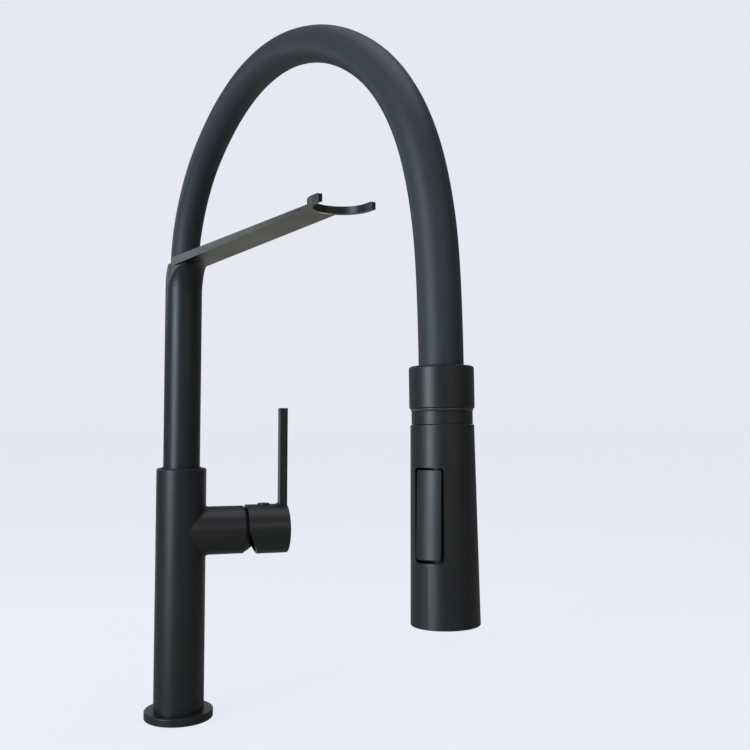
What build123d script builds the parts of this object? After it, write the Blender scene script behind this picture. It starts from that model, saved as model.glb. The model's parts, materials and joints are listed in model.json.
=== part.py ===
from build123d import *
import os
from math import cos, pi, radians, sin, sqrt, tan

# Pull down kitchen faucet. Millimetres. The origin is the centre of the deck surface under the
# base, +Z is up and the handle points along +X. The spout is turned SPOUT_ANGLE from +X.

# Column on the deck
BODY_R = 19.0
BODY_TOP = 189.5
BODY_EDGE_R = 1.5
BOSS_FILLET_R = 1.8
FLANGE_R = 26.0
FLANGE_TOP = 6.5
FLANGE_LIFT = 0.4
GASKET_R = 22.0
GASKET_BORE_R = 18.0
GASKET_T = 1.4
SPIGOT_R = 17.9
SPIGOT_BOTTOM = 1.6
CAVITY_R = 16.0
CAVITY_TOP = 112.0
WALL_GAP = 0.1
SLIP_GAP = 0.05
CUT_PAST = 1.0
FLANGE_EDGE_R = 0.9

# Fixing under the deck
SHANK_R = 15.9
SHANK_BORE_R = 13.0
SHANK_TOP = 40.0
SHANK_BOTTOM = -60.0
DECK_T = 30.0
WASHER_R = 26.0
WASHER_BORE_R = 16.3
RUBBER_T = 3.0
STEEL_T = 2.5
NUT_R = 25.2
NUT_T = 12.0
CLAMP_SCREW_R = 2.5
CLAMP_SCREW_PITCH_R = 20.3
NUT_SIDES = 8
HEX_SIDES = 6

# Waterways inside the column
INLET_R = 4.5
INLET_DEPTH = 12.0
INLET_Y = 7.0
PORT_R = 2.6
PORT_DROP = 5.0
OUTLET_RISE = 6.5
OUTLET_R = 4.0

# Handle boss and mixing cartridge, all on an axis along X at BOSS_Z
BOSS_Z = 140.8
BOSS_R = 18.6
BOSS_END = 48.3
BOSS_BORE_R = 16.0
BOSS_FLOOR = 14.0
BOSS_CHAMFER = 0.7
PIVOT_X = 40.0
CARTRIDGE_R = 15.6
CARTRIDGE_BORE_R = 13.6
CARTRIDGE_FLOOR = 18.5
CARTRIDGE_END = 43.5
DISC_T = 3.2
DISC_SLIDE = 2.4
DISC_PLAY = 0.2
CROSSOVER_X = 6.5
CROSSOVER_Y = 4.5
CARRIER_SOCKET = 6.4
TURRET_SLOT_SHIFT = 1.5
TURRET_SLOT_PLAY = 0.6
TURRET_SLOT_L = 11.4
STEM_HALF = 2.5
STEM_BALL_R = 2.6
STEM_BALL_X = 28.0
STEM_START = 30.5
STEM_END = 75.0
STEM_END_GAP = 0.5
STEM_NECK_R = 1.8
PIN_R = 1.45
PIN_HALF = 12.0
NUT_OPENING_R = 10.5
NUT_NOTCHES = 6
NUT_NOTCH_L = 4.0
NUT_NOTCH_W = 3.0
DOME_R = 19.6
DOME_INNER_R = 18.2
DOME_OPENING_R = 10.8

# Handle
CAP_R = 19.3
CAP_BORE_R = 17.3
CAP_START = 50.3
CAP_END = 82.6
CAP_FLOOR = 67.5
CAP_CUT_ANGLE = 23.5
CAP_CUT_LEAD = 5.0
CAP_CUT_DROP = 1.5 * CAP_R
CAP_EDGE_R = 0.4
HUB_R = 7.0
HUB_START = 61.0
PLUG_X = 64.3
PLUG_R = 4.65
PLUG_RISE = 0.9
PLUG_EDGE_R = 0.4
SET_SCREW_R = 2.0
SET_SCREW_L = 6.0
SET_SCREW_KEY_R = 1.1
SET_SCREW_KEY_FLOOR = 4.0
LEVER_T = 6.0
LEVER_W = 9.0
LEVER_TOP = 236.3
LEVER_FOOT_R = 1.6
LEVER_FOOT_X = CAP_END - LEVER_T

# Swivel between column and spout
SPOUT_ANGLE = -74.5
SOCKET_R = 15.5
SOCKET_FLOOR = 162.0
TUBE_R = 14.0
TUBE_BORE_R = 12.4
TUBE_BOTTOM = 164.5
BUSH_BOTTOM = 176.0
BUSH_RIM_R = 15.2
BUSH_RIM_T = 0.7
BUSH_GAP = 0.06
O_RING_R = 0.95
O_RING_HEIGHTS = (167.3, 171.1)
O_RING_GROOVE = 0.7
CLIP_BOTTOM = 174.1
CLIP_T = 1.0
CLIP_R = 15.2
CLIP_BORE_R = 13.4
CLIP_GROOVE = 0.65
CLIP_GAP_X = 15.0
CLIP_GAP_L = 8.0
CLIP_GAP_W = 9.0

# Spout head with its holder arm and fork
ARM_TOP = 351.7
COLLAR_BOTTOM = 322.0
ARM_ROOT_T = 6.3
ARM_TIP_T = 2.6
ARM_ROOT_HALF = 12.0
ARM_TIP_HALF = 10.8
FLARE_H = 20.0
FLARE_NARROWING = 4.2
FLARE_OVERLAP = 0.4
FLARE_STEPS = (0.12, 0.4, 0.65, 0.85, 0.95, 0.99)
SHOULDER_R = 12.25
SHOULDER_BOTTOM = 332.0
COLLAR_TOP = 347.5
ARM_START = 3.0
MOUTH_R = 11.9
SPIGOT_L = 8.0
SPIGOT_BORE_R = 11.5
SPIGOT_CUT = 12.0
FERRULE_LIFT = 0.5
FERRULE_SEAT_H = 4.5
FERRULE_DROP = 0.8
FERRULE_PLAY = 0.25
FERRULE_BARB_L = 13.0
FERRULE_BORE_R = 4.5
FORK_REACH = 235.3
FORK_R = 19.2
FORK_BORE_R = 16.0
FORK_T = 4.4
FORK_TIP = 7.2
FORK_EDGE_R = 0.8
ALONG = 0.99
MAGNET_W = 9.0
MAGNET_T = 1.6
MAGNET_H = 3.0
MAGNET_WALL = 0.8

# Hose, as (reach, height) points in the spout's own upright plane
HOSE_R = 10.75
HOSE_BORE_R = 6.5
HOSE_ROUTE = [
    (0.0, 326.0),
    (0.5, 356.0),
    (11.0, 386.0),
    (30.0, 413.0),
    (55.0, 433.0),
    (84.0, 449.0),
    (119.0, 460.0),
    (161.0, 462.5),
    (204.0, 454.0),
    (243.0, 437.0),
    (279.0, 411.0),
    (306.0, 376.0),
    (321.0, 335.0),
    (326.9, 291.0),
    (328.05, 247.0),
]
BEND_SHARE = 0.45

# Spray head, measured down from the top of its collar
HEAD_REACH = 327.9
HEAD_HEIGHT = 252.7
HEAD_TILT = 1.5
HEAD_TURN = -66.0
COLLAR_R = 15.5
COLLAR_LENGTH = 20.0
COLLAR_MOUTH_R = 11.1
COLLAR_LIP_R = 11.65
COLLAR_LIP = 0.5
COLLAR_ROUND = ((1.0, 0.0), (0.3, 0.35), (0.0, 1.1))
COLLAR_CHAMFER = 0.4
COLLAR_BORE_R = 14.2
COLLAR_ROOF = 5.7
STEEL_RING_R = 14.1
STEEL_RING_BORE_R = 12.6
STEEL_RING_BOTTOM = 18.0
STEEL_RING_H = 12.0
TRIM_R = 14.9
TRIM_EDGE = 0.2
TRIM_BORE_R = 12.6
TRIM_MIDDLE = 20.6
TRIM_BOTTOM = 21.25
NECK_R = 14.5
NECK_TOP = 21.5
NECK_BOTTOM = 27.4
NECK_BORE_R = 11.2
SWIVEL_NUT_R = 11.1
SWIVEL_NUT_BOTTOM = 24.1
SWIVEL_NUT_H = 3.4
GRIP_TOP = 27.6
GRIP_TOP_R = 15.1
GRIP_BOTTOM = 120.8
GRIP_BOTTOM_R = 16.4
GRIP_WALL = 1.8
GRIP_TOP_EDGE = 0.3
GRIP_END_EDGE = 0.4
GRIP_NECK_R = 11.3
GRIP_ROOF_BOTTOM = 34.0
GRIP_INNER_DEPTH = 40.0
CORE_R = 8.5
CORE_BORE_R = 5.0
CORE_BOTTOM = 104.0
CORE_FIT = 0.08
CORE_SHOULDER_BOTTOM = 26.3
CORE_SEAT_BOTTOM = 31.6
CORE_HEAD_BOTTOM = 34.0
CORE_TAPER_BOTTOM = 38.0
EAR_X = 9.7
EAR_Y = 5.3
EAR_L = 5.0
EAR_T = 1.8
EAR_H = 6.0
FITTING_R = 6.9
FITTING_SHOULDER_R = 8.6
FITTING_SHOULDER_TOP = 24.2
FITTING_SHOULDER_BOTTOM = 26.0
FITTING_BOTTOM = 30.6
FITTING_BORE_R = 4.5
FITTING_BARB_R = 6.2
FITTING_BARB_RISE = 14.0
FITTING_FLANGE_R = 11.8
FITTING_FLANGE_TOP = 6.0
FITTING_FLANGE_BOTTOM = 9.0
ROCKER_TOP = 47.4
ROCKER_WINDOW_H = 43.6
ROCKER_WINDOW_W = 15.0
ROCKER_WINDOW_R = 2.0
ROCKER_H = 41.2
ROCKER_W = 13.0
ROCKER_BACK = 12.9
ROCKER_FACE_R = 15.85
ROCKER_REST = 3.0
ROCKER_EDGE_R = 0.5
ROCKER_CORNER_R = 1.4
ROCKER_PIN_X = 10.6
PIVOT_PIN_R = 1.2
PIVOT_PIN_HALF = 6.1
LUG_HALF = 3.9
LUG_R = 3.0
NOTCH_X = 7.1
NOTCH_HALF = 3.8
NOTCH_PLAY = 0.7
FINGER_HALF = 0.9
FINGER_REACH = 8.2
SPOOL_R = 4.6
SPOOL_HALF = 8.0
SPOOL_WAIST_R = SPOOL_R / 3
FLUTES = 4
FLUTE_R = 1.0
GROOVE_HALF = 1.75
FACE_R = 14.3
FACE_TOP = 115.0
FACE_BOTTOM = 119.6
VALVE_BORE_R = 3.0
VALVE_BOTTOM = 42.0
VALVE_H = 9.0
SCREEN_BOTTOM = 33.0
SCREEN_T = 1.0
DIVIDER_BOTTOM = 107.0
DIVIDER_GAP = 0.7
DIVIDER_BORE_R = 4.0
DIVIDER_T = 2.8
NOZZLE_R = 0.8
NOZZLE_REACH = 0.7
NOZZLE_ROOT = 0.5
NOZZLE_RINGS = ((8.4, 12), (10.6, 16), (12.6, 20))
AERATOR_R = 6.4
AERATOR_WALL = 1.2
AERATOR_H = 9.0
MESH_R = 5.4
MESH_LIFT = 2.0
MESH_PITCH = 1.8
MESH_HOLE = 1.2
MESH_COUNT = 5
MESH_T = 1.2

os.makedirs("parts", exist_ok=True)

BOSS = Plane(origin=(0, 0, BOSS_Z), x_dir=(0, 1, 0), z_dir=(1, 0, 0))
BOSS_SIDE = Plane(origin=(0, 0, BOSS_Z), x_dir=(1, 0, 0), z_dir=(0, -1, 0))
REACH = Vector(cos(radians(SPOUT_ANGLE)), sin(radians(SPOUT_ANGLE)), 0)
SPOUT = Plane(origin=(0, 0, 0), x_dir=REACH, z_dir=(0, 0, 1))
SPOUT_SIDE = Plane(origin=(0, 0, 0), x_dir=REACH, z_dir=REACH.cross(Vector(0, 0, 1)))


def save(piece, name):
    piece.part.label = name
    export_step(piece.part, f"parts/{name}.step")


def ring(plane, outer_r, inner_r, height):
    with BuildPart() as piece:
        with BuildSketch(plane):
            Circle(outer_r)
            Circle(inner_r, mode=Mode.SUBTRACT)
        extrude(amount=height)
    return piece


def disc(plane, radius, height):
    with BuildPart() as piece:
        with BuildSketch(plane):
            Circle(radius)
        extrude(amount=height)
    return piece


# ---------------------------------------------------------------- column on the deck

with BuildPart() as base_flange:
    with BuildSketch(Plane.XY.offset(FLANGE_LIFT)):
        Circle(FLANGE_R)
        Circle(SPIGOT_R + WALL_GAP, mode=Mode.SUBTRACT)
    extrude(amount=FLANGE_TOP - FLANGE_LIFT)
    fillet(base_flange.edges().filter_by(GeomType.CIRCLE).sort_by(SortBy.RADIUS)[-2:], FLANGE_EDGE_R)
    with BuildSketch(Plane.XY.offset(FLANGE_LIFT)):
        Circle(GASKET_R + WALL_GAP)
        Circle(GASKET_BORE_R, mode=Mode.SUBTRACT)
    extrude(amount=GASKET_T - FLANGE_LIFT, mode=Mode.SUBTRACT)
save(base_flange, "base_flange")

save(ring(Plane.XY, GASKET_R, GASKET_BORE_R, GASKET_T), "base_gasket")

with BuildPart() as faucet_body:
    with BuildSketch(Plane.XY.offset(FLANGE_TOP)):
        Circle(BODY_R)
    extrude(amount=BODY_TOP - FLANGE_TOP)
    with BuildSketch(BOSS):
        Circle(BOSS_R)
    extrude(amount=BOSS_END)
    fillet(faucet_body.edges().filter_by(GeomType.CIRCLE).sort_by(Axis.Z)[-1], BODY_EDGE_R)
    chamfer(faucet_body.edges().filter_by(GeomType.CIRCLE).sort_by(Axis.X)[-1], BOSS_CHAMFER)
    boss_seam = faucet_body.edges().filter_by(lambda e: e.geom_type not in (GeomType.CIRCLE, GeomType.LINE))
    fillet(boss_seam, BOSS_FILLET_R)
    with BuildSketch(Plane.XY.offset(SPIGOT_BOTTOM)):
        Circle(SPIGOT_R)
    extrude(amount=FLANGE_TOP - SPIGOT_BOTTOM)
    with BuildSketch(Plane.XY.offset(SPIGOT_BOTTOM)):
        Circle(CAVITY_R)
    extrude(amount=CAVITY_TOP - SPIGOT_BOTTOM, mode=Mode.SUBTRACT)
    with BuildSketch(Plane.XY.offset(SOCKET_FLOOR)):
        Circle(SOCKET_R)
    extrude(amount=BODY_TOP - SOCKET_FLOOR, mode=Mode.SUBTRACT)
    with BuildSketch(BOSS.offset(BOSS_FLOOR)):
        Circle(BOSS_BORE_R)
    extrude(amount=BOSS_END - BOSS_FLOOR, mode=Mode.SUBTRACT)
    # Two tapped inlets rise to ports behind the cartridge, and one outlet rises to the spout.
    with BuildSketch(Plane.XY.offset(CAVITY_TOP)):
        with Locations((0, INLET_Y), (0, -INLET_Y)):
            Circle(INLET_R)
    extrude(amount=INLET_DEPTH, mode=Mode.SUBTRACT)
    with BuildSketch(Plane.XY.offset(CAVITY_TOP)):
        with Locations((0, INLET_Y), (0, -INLET_Y)):
            Circle(PORT_R)
    extrude(amount=BOSS_Z - PORT_DROP - CAVITY_TOP, mode=Mode.SUBTRACT)
    with BuildSketch(BOSS):
        with Locations((INLET_Y, -PORT_DROP), (-INLET_Y, -PORT_DROP), (0, OUTLET_RISE)):
            Circle(PORT_R)
    extrude(amount=BOSS_FLOOR + CUT_PAST, mode=Mode.SUBTRACT)
    with BuildSketch(Plane.XY.offset(BOSS_Z + OUTLET_RISE)):
        Circle(OUTLET_R)
    extrude(amount=SOCKET_FLOOR - BOSS_Z - OUTLET_RISE + CUT_PAST, mode=Mode.SUBTRACT)
save(faucet_body, "faucet_body")

# ---------------------------------------------------------------- fixing under the deck

save(
    ring(Plane.XY.offset(SHANK_BOTTOM), SHANK_R, SHANK_BORE_R, SHANK_TOP - SHANK_BOTTOM),
    "threaded_shank",
)
RUBBER_BOTTOM = -DECK_T - RUBBER_T
STEEL_BOTTOM = RUBBER_BOTTOM - STEEL_T
NUT_BOTTOM = STEEL_BOTTOM - NUT_T
save(ring(Plane.XY.offset(RUBBER_BOTTOM), WASHER_R, WASHER_BORE_R, RUBBER_T), "deck_rubber_washer")

with BuildPart() as deck_steel_washer:
    with BuildSketch(Plane.XY.offset(STEEL_BOTTOM)):
        Circle(WASHER_R)
        SlotCenterPoint((0, WASHER_R), (0, 0), 2 * WASHER_BORE_R, mode=Mode.SUBTRACT)
    extrude(amount=STEEL_T)
save(deck_steel_washer, "deck_steel_washer")

with BuildPart() as mounting_nut:
    with BuildSketch(Plane.XY.offset(NUT_BOTTOM)):
        RegularPolygon(NUT_R, NUT_SIDES)
        Circle(SHANK_R + WALL_GAP, mode=Mode.SUBTRACT)
        with Locations((0, -CLAMP_SCREW_PITCH_R), (0, CLAMP_SCREW_PITCH_R)):
            Circle(CLAMP_SCREW_R, mode=Mode.SUBTRACT)
    extrude(amount=NUT_T)
save(mounting_nut, "mounting_nut")

CLAMP_SCREW_LENGTH = 24.0
CLAMP_HEAD_R = 4.0
CLAMP_HEAD_T = 4.0
with BuildPart() as clamp_screws:
    for side in (-1, 1):
        centre = (0, side * CLAMP_SCREW_PITCH_R)
        with BuildSketch(Plane.XY.offset(STEEL_BOTTOM - CLAMP_SCREW_LENGTH)):
            with Locations(centre):
                Circle(CLAMP_SCREW_R)
        extrude(amount=CLAMP_SCREW_LENGTH)
        with BuildSketch(Plane.XY.offset(STEEL_BOTTOM - CLAMP_SCREW_LENGTH - CLAMP_HEAD_T)):
            with Locations(centre):
                RegularPolygon(CLAMP_HEAD_R, HEX_SIDES)
        extrude(amount=CLAMP_HEAD_T)
save(clamp_screws, "clamp_screws")

# ---------------------------------------------------------------- mixing cartridge in the boss

with BuildPart() as cartridge_housing:
    with BuildSketch(BOSS.offset(BOSS_FLOOR + WALL_GAP)):
        Circle(CARTRIDGE_R)
    extrude(amount=CARTRIDGE_END - BOSS_FLOOR - WALL_GAP)
    with BuildSketch(BOSS.offset(CARTRIDGE_FLOOR)):
        Circle(CARTRIDGE_BORE_R)
    extrude(amount=CARTRIDGE_END - CARTRIDGE_FLOOR, mode=Mode.SUBTRACT)
    with BuildSketch(BOSS.offset(BOSS_FLOOR)):
        with Locations((INLET_Y, -PORT_DROP), (-INLET_Y, -PORT_DROP), (0, OUTLET_RISE)):
            Circle(PORT_R)
    extrude(amount=CARTRIDGE_FLOOR - BOSS_FLOOR, mode=Mode.SUBTRACT)
save(cartridge_housing, "cartridge_housing")

FIXED_DISC_START = CARTRIDGE_FLOOR + WALL_GAP
with BuildPart() as fixed_ceramic_disc:
    with BuildSketch(BOSS.offset(FIXED_DISC_START)):
        Circle(CARTRIDGE_BORE_R - DISC_PLAY)
        with Locations((INLET_Y, -PORT_DROP), (-INLET_Y, -PORT_DROP), (0, OUTLET_RISE)):
            Circle(PORT_R - DISC_PLAY, mode=Mode.SUBTRACT)
    extrude(amount=DISC_T)
save(fixed_ceramic_disc, "fixed_ceramic_disc")

MOVING_DISC_R = 10.6
MOVING_DISC_START = FIXED_DISC_START + DISC_T + WALL_GAP
with BuildPart() as moving_ceramic_disc:
    with BuildSketch(BOSS.offset(MOVING_DISC_START)):
        with Locations((0, -DISC_SLIDE)):
            Circle(MOVING_DISC_R)
    extrude(amount=DISC_T)
    with BuildSketch(BOSS.offset(MOVING_DISC_START)):
        with Locations((0, -DISC_SLIDE)):
            Ellipse(CROSSOVER_X, CROSSOVER_Y)
    extrude(amount=DISC_T / 2, mode=Mode.SUBTRACT)
save(moving_ceramic_disc, "moving_ceramic_disc")

CARRIER_START = MOVING_DISC_START + DISC_T
CARRIER_END = 29.4
with BuildPart() as disc_carrier:
    with BuildSketch(BOSS.offset(CARRIER_START)):
        with Locations((0, -DISC_SLIDE)):
            Circle(MOVING_DISC_R)
        Rectangle(CARRIER_SOCKET, CARRIER_SOCKET, mode=Mode.SUBTRACT)
    extrude(amount=CARRIER_END - CARRIER_START)
save(disc_carrier, "disc_carrier")

TURRET_START = 30.0
TURRET_END = 43.0
with BuildPart() as cartridge_turret:
    with BuildSketch(BOSS.offset(TURRET_START)):
        Circle(CARTRIDGE_BORE_R - WALL_GAP)
        with Locations((0, TURRET_SLOT_SHIFT)):
            Rectangle(2 * STEM_HALF + TURRET_SLOT_PLAY, TURRET_SLOT_L, mode=Mode.SUBTRACT)
    extrude(amount=TURRET_END - TURRET_START)
    with BuildSketch(BOSS_SIDE):
        with Locations((PIVOT_X, 0)):
            Circle(PIN_R)
    extrude(amount=PIN_HALF, both=True, mode=Mode.SUBTRACT)
save(cartridge_turret, "cartridge_turret")

with BuildPart() as stem_pin:
    with BuildSketch(BOSS_SIDE):
        with Locations((PIVOT_X, 0)):
            Circle(PIN_R)
    extrude(amount=PIN_HALF, both=True)
save(stem_pin, "stem_pin")

with BuildPart() as control_stem:
    with BuildSketch(BOSS.offset(STEM_START)):
        Rectangle(2 * STEM_HALF, 2 * STEM_HALF)
    extrude(amount=STEM_END - STEM_START)
    with BuildSketch(BOSS.offset(STEM_BALL_X)):
        Circle(STEM_NECK_R)
    extrude(amount=STEM_START - STEM_BALL_X)
    with Locations((STEM_BALL_X, 0, BOSS_Z)):
        Sphere(STEM_BALL_R)
    with BuildSketch(BOSS_SIDE):
        with Locations((PIVOT_X, 0)):
            Circle(PIN_R + SLIP_GAP)
    extrude(amount=2 * STEM_HALF, both=True, mode=Mode.SUBTRACT)
save(control_stem, "control_stem")

CARTRIDGE_NUT_T = 3.2
with BuildPart() as cartridge_nut:
    with BuildSketch(BOSS.offset(CARTRIDGE_END + WALL_GAP)):
        Circle(BOSS_BORE_R - WALL_GAP)
        Circle(NUT_OPENING_R, mode=Mode.SUBTRACT)
        with PolarLocations(NUT_OPENING_R, NUT_NOTCHES):
            Rectangle(NUT_NOTCH_L, NUT_NOTCH_W, mode=Mode.SUBTRACT)
    extrude(amount=CARTRIDGE_NUT_T)
save(cartridge_nut, "cartridge_nut")


def sphere_x(radius, height):
    return PIVOT_X + sqrt(radius**2 - height**2)


SEAT_R = sqrt(DOME_R**2 - (BOSS_END - PIVOT_X) ** 2)
SKIRT_R = BOSS_BORE_R - WALL_GAP
SKIRT_START = 47.0
SKIRT_INNER_R = 14.4
DOME_BACK_X = 49.6
DOME_BACK_R = sqrt(DOME_INNER_R**2 - (DOME_BACK_X - PIVOT_X) ** 2)
with BuildPart() as bonnet_dome:
    with BuildSketch(BOSS_SIDE):
        with BuildLine():
            RadiusArc(
                (BOSS_END, SEAT_R), (sphere_x(DOME_R, DOME_OPENING_R), DOME_OPENING_R), DOME_R
            )
            Line(
                (sphere_x(DOME_R, DOME_OPENING_R), DOME_OPENING_R),
                (sphere_x(DOME_INNER_R, DOME_OPENING_R), DOME_OPENING_R),
            )
            RadiusArc(
                (sphere_x(DOME_INNER_R, DOME_OPENING_R), DOME_OPENING_R),
                (DOME_BACK_X, DOME_BACK_R),
                -DOME_INNER_R,
            )
            Polyline(
                (DOME_BACK_X, DOME_BACK_R),
                (DOME_BACK_X, SKIRT_INNER_R),
                (SKIRT_START, SKIRT_INNER_R),
                (SKIRT_START, SKIRT_R),
                (BOSS_END, SKIRT_R),
                (BOSS_END, SEAT_R),
            )
        make_face()
    revolve(axis=Axis((0, 0, BOSS_Z), (1, 0, 0)))
save(bonnet_dome, "bonnet_dome")

# ---------------------------------------------------------------- handle

with BuildPart() as handle_cap:
    with BuildSketch(BOSS.offset(CAP_START)):
        Circle(CAP_R)
    extrude(amount=CAP_END - CAP_START)
    with BuildSketch(Plane.XY.offset(BOSS_Z)):
        with Locations((CAP_END - LEVER_T / 2, 0)):
            Rectangle(LEVER_T, LEVER_W)
    extrude(amount=LEVER_TOP - BOSS_Z)
    with BuildSketch(BOSS_SIDE):
        with BuildLine():
            Polyline(
                (LEVER_FOOT_X - LEVER_FOOT_R, CAP_R),
                (LEVER_FOOT_X - LEVER_FOOT_R, CAP_R - LEVER_FOOT_R),
                (LEVER_FOOT_X + CUT_PAST, CAP_R - LEVER_FOOT_R),
                (LEVER_FOOT_X + CUT_PAST, CAP_R + LEVER_FOOT_R),
                (LEVER_FOOT_X, CAP_R + LEVER_FOOT_R),
            )
            RadiusArc(
                (LEVER_FOOT_X, CAP_R + LEVER_FOOT_R), (LEVER_FOOT_X - LEVER_FOOT_R, CAP_R), LEVER_FOOT_R
            )
        make_face()
    extrude(amount=LEVER_W / 2, both=True)
    fillet(handle_cap.faces().sort_by(Axis.X)[-1].outer_wire().edges(), CAP_EDGE_R)
    with BuildSketch(BOSS.offset(CAP_START)):
        Circle(CAP_BORE_R)
        Circle(HUB_R, mode=Mode.SUBTRACT)
    extrude(amount=CAP_FLOOR - CAP_START, mode=Mode.SUBTRACT)
    with BuildSketch(BOSS.offset(CAP_START)):
        Circle(HUB_R + CUT_PAST)
    extrude(amount=HUB_START - CAP_START, mode=Mode.SUBTRACT)
    # The lower half of the open end is cut back so that the cap can tip over the dome.
    with BuildSketch(BOSS_SIDE):
        Polygon(
            (CAP_START, 0),
            (CAP_START - CAP_CUT_LEAD, 0),
            (CAP_START - CAP_CUT_LEAD, -CAP_CUT_DROP),
            (CAP_START + CAP_CUT_DROP * tan(radians(CAP_CUT_ANGLE)), -CAP_CUT_DROP),
            align=None,
        )
    extrude(amount=CAP_R + CUT_PAST, both=True, mode=Mode.SUBTRACT)
    with BuildSketch(BOSS.offset(HUB_START)):
        Rectangle(2 * STEM_HALF + WALL_GAP, 2 * STEM_HALF + WALL_GAP)
    extrude(amount=STEM_END + STEM_END_GAP - HUB_START, mode=Mode.SUBTRACT)
    with BuildSketch(Plane.XY.offset(BOSS_Z + CAP_R / 2)):
        with Locations((PLUG_X, 0)):
            Circle(PLUG_R + WALL_GAP)
    extrude(amount=CAP_R, mode=Mode.SUBTRACT)
    with BuildSketch(Plane.XY.offset(BOSS_Z)):
        with Locations((PLUG_X, 0)):
            Circle(SET_SCREW_R + SLIP_GAP)
    extrude(amount=CAP_R, mode=Mode.SUBTRACT)
save(handle_cap, "handle_cap")

with BuildPart() as set_screw:
    with BuildSketch(Plane.XY.offset(BOSS_Z + STEM_HALF + WALL_GAP)):
        with Locations((PLUG_X, 0)):
            Circle(SET_SCREW_R)
    extrude(amount=SET_SCREW_L)
    with BuildSketch(Plane.XY.offset(BOSS_Z + STEM_HALF + SET_SCREW_KEY_FLOOR)):
        with Locations((PLUG_X, 0)):
            RegularPolygon(SET_SCREW_KEY_R, HEX_SIDES)
    extrude(amount=SET_SCREW_L, mode=Mode.SUBTRACT)
save(set_screw, "set_screw")

with BuildPart() as index_plug:
    with BuildSketch(Plane.XY.offset(BOSS_Z + CAP_BORE_R)):
        with Locations((PLUG_X, 0)):
            Circle(PLUG_R)
    extrude(amount=CAP_R - CAP_BORE_R + PLUG_RISE)
    fillet(index_plug.edges().sort_by(Axis.Z)[-1], PLUG_EDGE_R)
save(index_plug, "index_plug")

# ---------------------------------------------------------------- swivel

with BuildPart() as swivel_bush:
    with BuildSketch(Plane.XY.offset(BUSH_BOTTOM)):
        Circle(SOCKET_R - SLIP_GAP)
        Circle(TUBE_R + BUSH_GAP, mode=Mode.SUBTRACT)
    extrude(amount=BODY_TOP + BUSH_RIM_T - BUSH_BOTTOM)
    with BuildSketch(Plane.XY.offset(BODY_TOP)):
        Circle(SOCKET_R + CUT_PAST)
        Circle(BUSH_RIM_R, mode=Mode.SUBTRACT)
    extrude(amount=2 * BUSH_RIM_T, mode=Mode.SUBTRACT)
save(swivel_bush, "swivel_bush")

with BuildPart() as spout_tube:
    with BuildSketch(Plane.XY.offset(TUBE_BOTTOM)):
        Circle(TUBE_R)
        Circle(TUBE_BORE_R, mode=Mode.SUBTRACT)
    extrude(amount=COLLAR_BOTTOM - TUBE_BOTTOM)
    for height in O_RING_HEIGHTS:
        with BuildSketch(Plane.XY.offset(height - O_RING_R - WALL_GAP)):
            Circle(TUBE_R + CUT_PAST)
            Circle(TUBE_R - O_RING_GROOVE, mode=Mode.SUBTRACT)
        extrude(amount=2 * O_RING_R + 2 * WALL_GAP, mode=Mode.SUBTRACT)
    with BuildSketch(Plane.XY.offset(CLIP_BOTTOM - SLIP_GAP)):
        Circle(TUBE_R + CUT_PAST)
        Circle(TUBE_R - CLIP_GROOVE, mode=Mode.SUBTRACT)
    extrude(amount=CLIP_T + 2 * SLIP_GAP, mode=Mode.SUBTRACT)
save(spout_tube, "spout_tube")

with BuildPart() as swivel_o_rings:
    for height in O_RING_HEIGHTS:
        with Locations((0, 0, height)):
            Torus(SOCKET_R - SLIP_GAP - O_RING_R, O_RING_R)
save(swivel_o_rings, "swivel_o_rings")

with BuildPart() as retaining_clip:
    with BuildSketch(SPOUT.offset(CLIP_BOTTOM)):
        Circle(CLIP_R)
        Circle(CLIP_BORE_R, mode=Mode.SUBTRACT)
        with Locations((CLIP_GAP_X, 0)):
            Rectangle(CLIP_GAP_L, CLIP_GAP_W, mode=Mode.SUBTRACT)
    extrude(amount=CLIP_T)
save(retaining_clip, "retaining_clip")

# ---------------------------------------------------------------- spout head, arm and fork

SHOULDER_H = COLLAR_TOP - SHOULDER_BOTTOM
SHOULDER_DROP = TUBE_R - SHOULDER_R
SHOULDER_ARC_R = (SHOULDER_H**2 + SHOULDER_DROP**2) / (2 * SHOULDER_DROP)


def shoulder_radius(z):
    rise = max(z - SHOULDER_BOTTOM, 0)
    return TUBE_R - SHOULDER_ARC_R + sqrt(SHOULDER_ARC_R**2 - rise**2)


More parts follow.
